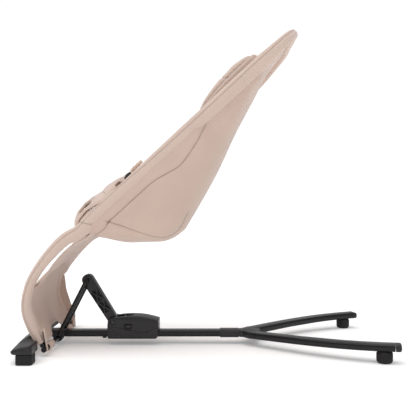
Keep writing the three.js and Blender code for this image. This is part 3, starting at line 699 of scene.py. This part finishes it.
def wing(side, sign):
    """A side lobe of the headrest: its upper outline has two humps, and its sides are narrow."""
    outline = [(338, -8.5), (350, -12), (362, -15), (381, -18.6), (400, -22), (416, -23.2), (426, -23.4),
               (436, -24.6), (452, -26.4), (474, -24.2), (490, -21), (501, -17), (508, -11)]
    top = through(outline, 4)
    end = 1 - np.abs(np.linspace(-1, 1, len(top))) ** 4
    turn = np.linspace(0, 2 * math.pi, 30, endpoint=False)
    down, aside = power(np.sin(turn), 0.75), power(np.cos(turn), 0.75)
    middle_y = sign * 98
    rings = []
    for (a, upper), e in zip(top, np.clip(end, 0.12, 1) ** 0.5):
        lower = 14.0 * e - 4
        middle, tall = (upper + lower) / 2, (lower - upper) / 2 * (0.35 + 0.65 * e)
        wide = 19 * e
        rings.append(seat_point(a, middle - tall * down, middle_y + wide * aside))
    name = f"headrest_wing_pad_{side}"
    mesh = stuffed(name, closed(name, rings), [f"headrest_wing_{side}"], shrink=1.2, voxel=0.0042,
                   cap=0.005)
    a, d, y = seat_place(coordinates(mesh) * 1000)
    line = [(352, -6), (380, -9.5), (410, -12.5), (440, -14), (470, -14), (494, -15.5), (508, -18)]
    outer = smooth(sign * (y - middle_y), -4, 3)
    off, mask = line_field(a, d, line)
    dart, dart_mask = line_field(a, d, [(416, -30), (420, -19), (428, -13.5)])
    sew(mesh, [(off, mask * outer), (dart, dart_mask * outer)], 2.0, 1.9, 0.2)


def headrest():
    middle, size = 404, (64, 72, 14)
    shape = egg("headrest_back_pad", middle, 20, 0, size)
    mesh = stuffed("headrest_back_pad", shape, ["headrest_back"], shrink=1.0, voxel=0.005)
    a, d, y = seat_place(coordinates(mesh) * 1000)
    ring = (np.hypot((a - middle) / size[0], y / size[1]) - 0.62) * 60
    sew(mesh, [(ring, (d < 20).astype(float))], 1.5, 2.2, 0.3)
    for side, sign in SIDES:
        wing(side, sign)


# ---- The restraint panel across the lap ----
# How far the panel rises above the rim, as (along, rise)
PANEL = [(-24, 2), (-16, 9), (0, 16), (22, 19), (42, 14), (62, 9), (84, 12), (106, 9), (124, 5)]
HOLE = (18, 70, 23, 33)  # the leg openings: along, y, and their half sizes


def panel_wide(along):
    """Half the panel's width."""
    return 118 - 40 * smooth(along, 45, 125)


def panel_point(along, share, lift=0.0):
    rise = np.interp(along, [a for a, _ in PANEL], [r for _, r in PANEL])
    arch = (1 - share**2) * 18 - 8 * np.abs(share) ** 3
    return seat_point(along, -rise - arch - lift + 3.5, share * panel_wide(along))


def restraint():
    source = nodes["restraint_panel"].data.copy()
    mesh = stuffed("restraint_pad", source, ["restraint_panel"], shrink=0.4, voxel=0.0036, pressure=3.5,
                   cap=0.0035)
    a, _, y = seat_place(coordinates(mesh) * 1000)
    edge = panel_wide(a) - np.abs(y) - 8
    holes = (np.hypot((a - HOLE[0]) / HOLE[2], (np.abs(y) - HOLE[1]) / HOLE[3]) - 1.28) * 24
    waist = a - 66 - 6 * (y / 80) ** 2
    inner = (edge > 6).astype(float)
    sew(mesh, [(edge, (a > -10) * 0.8), (holes, 0.8 * (holes < 20)), (waist, 0.9 * inner)], 1.5, 1.7, 0.2)
    # Painted shade: the faces that look down get the dark fabric, for the shade inside the seat and its leg
    # openings
    mesh.materials.append(UNDERSIDE_SHADE)
    for face in mesh.polygons:
        face.material_index = int(np.array(face.normal) @ UP < -0.35)
    for side, sign in SIDES:
        turn = np.linspace(0, 2 * math.pi, 72, endpoint=False)
        along, y = HOLE[0] + (HOLE[2] + 0.5) * np.cos(turn), HOLE[1] + (HOLE[3] + 0.5) * np.sin(turn)
        middle = panel_point(along, y / panel_wide(along)) * (1, sign, 1)
        centre = middle.mean(0)
        ring = np.linspace(0, 2 * math.pi, 14, endpoint=False)
        rings = []
        for k, p in enumerate(middle):
            out = unit(p - centre)
            beads = 1 + 0.05 * math.sin(k * 2.4)
            rings.append([p + out * 2.2 * math.cos(r) * beads + UP * 3.4 * math.sin(r) * beads for r in ring])
        mesh = mesh_of(f"leg_binding_{side}", rings, ring_faces(len(rings), len(ring)))
        piece(f"leg_binding_{side}", mesh, "seat", BEIGE)


def ribbon(name, path, flat_way, width, thickness, material, waves=0.0):
    """Flat webbing with rounded edges along a path; flat_way points across its width."""
    path, _ = respaced(np.asarray(path, float), step=1.6)
    ahead = unit(np.gradient(path, axis=0))
    flat_way = unit(flat_way - (ahead @ flat_way)[:, None] * ahead)
    up = np.cross(ahead, flat_way)
    turn = np.linspace(0, 2 * math.pi, 28, endpoint=False)
    wavy = 1 + waves * np.sin(np.arange(len(path)) * 1.9)[:, None, None]
    rings = (path[:, None] + flat_way[:, None] * (width / 2 * power(np.cos(turn), 0.45))[None, :, None]
             + up[:, None] * (thickness / 2 * power(np.sin(turn), 0.8))[None, :, None] * wavy)
    return piece(name, closed(name, rings), "seat", material)


def toggles():
    """A turned bar with a collar, held by an elastic loop, and the strap that it holds."""
    start, end = 147, 178
    for side, sign in SIDES:
        axis = np.linspace(start, end, 63)
        radius = 3.3 + 0.5 * bump(axis - 148.6, 1.6) + 0.5 * bump(axis - 176.4, 1.6)
        radius += 0.9 * bump(axis - 167, 2.4) - 0.45 * bump(axis - 157, 3.5)
        ends = np.minimum(axis - start, end - axis)
        radius *= np.sqrt(np.clip(ends / 2.2, 0.05, 1))
        path = seat_point(axis, -5.5, sign * 128)
        bar = tube(f"toggle_bar_{side}", path, radius, sides=24)
        piece(f"toggle_bar_{side}", bar, "seat", TAN, [f"toggle_{side}"])
        turn = np.linspace(-2.6, 2.6, 30)
        loop = seat_point(157 + 0 * turn, -4.8 - 4.3 * np.cos(turn) + 1.5 * (np.abs(turn) > 2),
                          sign * (128 + 4.3 * np.sin(turn)))
        ribbon(f"toggle_loop_{side}", loop, ALONG, 5.0, 1.2, BEIGE, 0.2)
        strap = [(104, -15, 70), (120, -13, 84), (140, -8, 106), (152, -2.5, 120), (156, 3, 127)]
        strap = through([seat_point(a, d, sign * y) for a, d, y in strap], 12)
        ribbon(f"lap_strap_{side}", strap, ALONG, 17, 1.8, BEIGE)
        # Painted shade: a small black plastic piece fills the gap between the strap and the rim, for the
        # shade there
        clip = [(127, -1.5, 112), (134, -4, 117), (143, -2, 122)]
        clip = through([seat_point(a, d, sign * y) for a, d, y in clip], 8)
        ribbon(f"strap_gap_filler_{side}", clip, UP, 9, 4.5, PLASTIC)


# ---- Hems round the lower tube ----
def hems():
    start, end, sides = 76, 113, 36
    for side, sign in SIDES:
        y = np.linspace(start, end, 26)
        turn = np.linspace(0, 2 * math.pi, sides, endpoint=False)
        outer = 9 + 0.25 * np.sin(y[:, None] * 0.9 + 2 * np.cos(turn)[None, :])
        outer = outer + 0.5 * bump(turn[None, :] - 4.2, 0.3)
        ends = np.clip(np.minimum(y - start, end - y) / 1.5, 0.0, 1)
        outer = 7.6 + (outer - 7.6) * np.sqrt(ends)[:, None]
        ring = lambda radius, yy: HINGE + np.stack(
            [radius * np.cos(turn), np.broadcast_to(sign * yy, turn.shape), radius * np.sin(turn)], axis=-1)
        rings = [ring(outer[k], y[k]) for k in range(len(y))]
        rings += [ring(np.full(sides, 6.1), yy) for yy in y[::-1]]
        mesh = outward(mesh_of(f"hem_{side}", rings, ring_faces(len(rings), sides)))
        hem = piece(f"hem_{side}", mesh, "seat", BEIGE, [f"hem_loop_{side}"])


def end_tabs():
    """The closing flaps beside the foot end of the roll, with hook tape inside."""
    for side, sign in SIDES:
        line = [(-1.5, 137, 44.5), (0.6, 138.5, 34), (3.0, 139, 20), (5.2, 138, 8), (5.6, 136, 0)]
        line = through([HINGE + (x, sign * y, z) for x, y, z in line], 10)
        flat_way = np.array([0.35, sign * 1.0, 0.0])
        ribbon(f"end_flap_{side}", line, flat_way, 13, 3.0, BEIGE, 0.08)
        tape = [(-4.0, 134, 36), (-1.6, 135, 24), (0.8, 135, 13)]
        tape = through([HINGE + (x, sign * y, z) for x, y, z in tape], 8)
        flat_way = np.array([0.5, sign * 1.0, 0.0])
        ribbon(f"hook_tape_{side}", tape, flat_way, 9, 1.4, HOOK, 0.12)


def lap_skirts():
    """The sides of the lap panel, which go down inside the rim."""
    for side, sign in SIDES:
        along = np.linspace(-23, 123, 80)
        top = panel_point(along, sign * np.ones(80) * 0.97, -2.0)
        bottom = seat_point(along, 14, sign * (124 - 20 * smooth(along, 60, 125)))
        share = np.linspace(0, 1, 22)[None, :, None]
        points = top[:, None] * (1 - share) + bottom[:, None] * share
        points = points + ACROSS * (sign * 3.0 * np.sin(share * math.pi))
        points = points + ACROSS * (0.6 * ripple(points, 25, 33))[..., None]
        sheet_between(f"lap_skirt_{side}", points, BEIGE, 1.8, np.array([0, sign, 0.0]), ())


def far_flap():
    """On the right the closing flap hangs open a little, and shows behind the foot end."""
    line = [(-352, 147), (-350, 132), (-347, 112), (-341.5, 92), (-336.5, 74), (-331, 50), (-327, 30),
            (-324, 12)]
    line, _ = respaced(through([(x + SHIFT, z) for x, z in line], 8), count=70)
    share = np.linspace(0, 1, 14)
    wide = 22.0 - 10 * smooth(line[:, 1], 110, 147) - 8 * smooth(-line[:, 1], -34, -12)
    x = line[:, 0][:, None] - wide[:, None] * (1 - share)[None, :]
    y = 128 + 9 * share[None, :] * np.ones_like(x) + 2.0 * np.sin(line[:, 1] / 9)[:, None] * share[None, :]
    points = np.stack([x, y, np.broadcast_to(line[:, 1][:, None], x.shape)], axis=-1)
    sheet_between("open_flap_right", points, BEIGE, 2.2, np.array([0, -1.0, 0]), ())
    tape = through([(-338 + SHIFT, 138.5, 66), (-334 + SHIFT, 139.5, 50), (-330.5 + SHIFT, 140, 34)], 8)
    ribbon("hook_tape_open", tape, np.array([1.0, 0.3, 0.0]), 9, 2.0, HOOK, 0.2)


# ---- Hard parts ----
def crank_rod():
    """The bail: two legs from the cross tube, joined by rounded corners at the link arm."""
    up = unit(CRANK_TOP - HINGE)
    long = np.linalg.norm(CRANK_TOP - HINGE)
    at = lambda distance, y: HINGE + up * distance + ACROSS * y
    bend, foot_half, top_half = 9.0, 24.0, 20.5
    half = [at(7.5, -foot_half)]
    for share in np.linspace(0, 1, 10):
        turn = math.pi / 2 * share
        y = top_half + (1 - share) * 2 - bend + bend * math.cos(turn)
        half.append(at(long - bend + bend * math.sin(turn), -y))
    path = np.array(half + [p * (1, -1, 1) for p in half[::-1]])
    path, _ = respaced(path, step=2.5)
    mesh = tube("crank_rod", path, 4.5, across=np.cross(up, ACROSS), sides=28)
    piece("crank_rod", mesh, "seat", GLOSS, ["crank_bail"])


BODY_OF = {node: body for body, names in frame["record"]["behaviour"]["bodies"].items() for node in names}
# Material, slot, width of the rounded edges in mm, and nodes
HARD = [
    (PAINT, "black_metal", 0.9, ["centre_beam"] + [f"rear_leg_{side}" for side, _ in SIDES]),
    (PLASTIC, "black_plastic", 0.6, ["front_bar", "hinge_block", "fork_socket", "fork_block", "link_arm",
                                     "hub_lower_shell", "hub_upper_shell"]
     + [f"{name}_{side}" for name in ("front_bar_cap", "rear_leg_cap", "hub_button") for side, _ in SIDES]),
    (RUBBER, "foot_rubber", 0.6, ["hub_lock_slider", "stop_stud"]
     + [f"{name}_{side}" for name in ("front_foot", "rear_foot", "cross_tube_plug") for side, _ in SIDES]),
    (STEEL, "screw_steel", 0.25, [f"hinge_block_screw_{side}" for side, _ in SIDES]),
    # Painted shade: the hub screws get the darkened steel for the shade in their bores
    (SHADED_STEEL, "screw_steel", 0.25, [f"hub_screw_{side}" for side, _ in SIDES]),
]
EDGE_ANGLE = math.radians(32)  # edges sharper than this are real edges


def crisp(name, material, round_edge):
    """A CAD piece with its flat faces kept flat and its sharp edges slightly rounded."""
    work = bmesh.new()
    work.from_mesh(nodes[name].data)
    bmesh.ops.remove_doubles(work, verts=work.verts, dist=1e-5)
    bmesh.ops.dissolve_limit(work, angle_limit=math.radians(1), verts=work.verts, edges=work.edges)
    points = np.array([v.co for v in work.verts]) * 1000
    work.verts.index_update()
    mesh = mesh_of(f"{name}_body", points, [[v.index for v in face.verts] for face in work.faces])
    work.free()
    mesh.set_sharp_from_angle(angle=EDGE_ANGLE)
    bevel = piece(f"{name}_body", mesh, BODY_OF[name], material, [name]).modifiers.new("Edges", "BEVEL")
    bevel.width = round_edge * 0.001
    bevel.segments = 2
    bevel.limit_method, bevel.angle_limit = "ANGLE", EDGE_ANGLE
    bevel.harden_normals = True


def hard_parts():
    for material, slot, round_edge, names in HARD:
        for name in names:
            crisp(name, material, round_edge)


def finish_cad_nodes():
    tubes = ("cross_tube", "side_tube_left", "side_tube_right", "top_bow_tube")
    for name, obj in nodes.items():
        obj.data.materials.clear()
        obj.data.materials.append(GLOSS if name in tubes else PLASTIC)


# ---- Floor, lights and camera ----
def studio():
    mesh = bpy.data.meshes.new("floor")
    far = 30.0
    mesh.from_pydata([(-far, -far, 0), (far, -far, 0), (far, far, 0), (-far, far, 0)], [], [(0, 1, 2, 3)])
    floor = bpy.data.objects.new("floor", mesh)
    scene.collection.objects.link(floor)
    s = Shader("floor", (0.93, 0.93, 0.93, 1), Specular_IOR_Level=0.0)
    s.tint(s.between(s.cloud(1.5), 0.995, 1.005))
    s.shader.inputs["Emission Color"].default_value = (1, 1, 1, 1)
    s.shader.inputs["Emission Strength"].default_value = 0.2
    mesh.materials.append(s.material)
    world = bpy.data.worlds.new("studio")
    scene.world = world
    world.use_nodes = True
    tree = world.node_tree
    background = tree.nodes["Background"]
    background.inputs["Color"].default_value = (1, 1, 1, 1)
    rays = tree.nodes.new("ShaderNodeLightPath")
    level = tree.nodes.new("ShaderNodeMapRange")
    # The world is white to the camera and dimmer as a light
    level.inputs["To Min"].default_value = 0.46
    level.inputs["To Max"].default_value = 1.05
    tree.links.new(rays.outputs["Is Camera Ray"], level.inputs["Value"])
    tree.links.new(level.outputs["Result"], background.inputs["Strength"])
    for name, strength, angle, turn in (("key", 1.85, 65, (-10, -8)), ("front", 0.22, 50, (-62, 20))):
        light = bpy.data.lights.new(name, "SUN")
        light.energy = strength
        light.angle = math.radians(angle)
        sun = bpy.data.objects.new(name, light)
        sun.rotation_euler = (math.radians(-turn[0]), math.radians(turn[1]), 0)
        scene.collection.objects.link(sun)
    # A level camera at the seat's left, as in the photo
    data = bpy.data.cameras.new("camera")
    data.sensor_width, data.lens = 36.0, 55.4365
    data.shift_x, data.shift_y = 0.0101, 0.006
    camera = bpy.data.objects.new("camera", data)
    camera.location = (-0.00215, -1.45, 0.300)
    camera.rotation_euler = (math.pi / 2, 0, 0)
    scene.collection.objects.link(camera)
    scene.camera = camera
    scene.view_settings.view_transform = "Standard"


finish_cad_nodes()
hard_parts()
rim_roll()
bucket()
front_sheet()
head_sheet()
seat_cushion()
headrest()
restraint()
toggles()
hems()
end_tabs()
lap_skirts()
far_flap()
crank_rod()
studio()
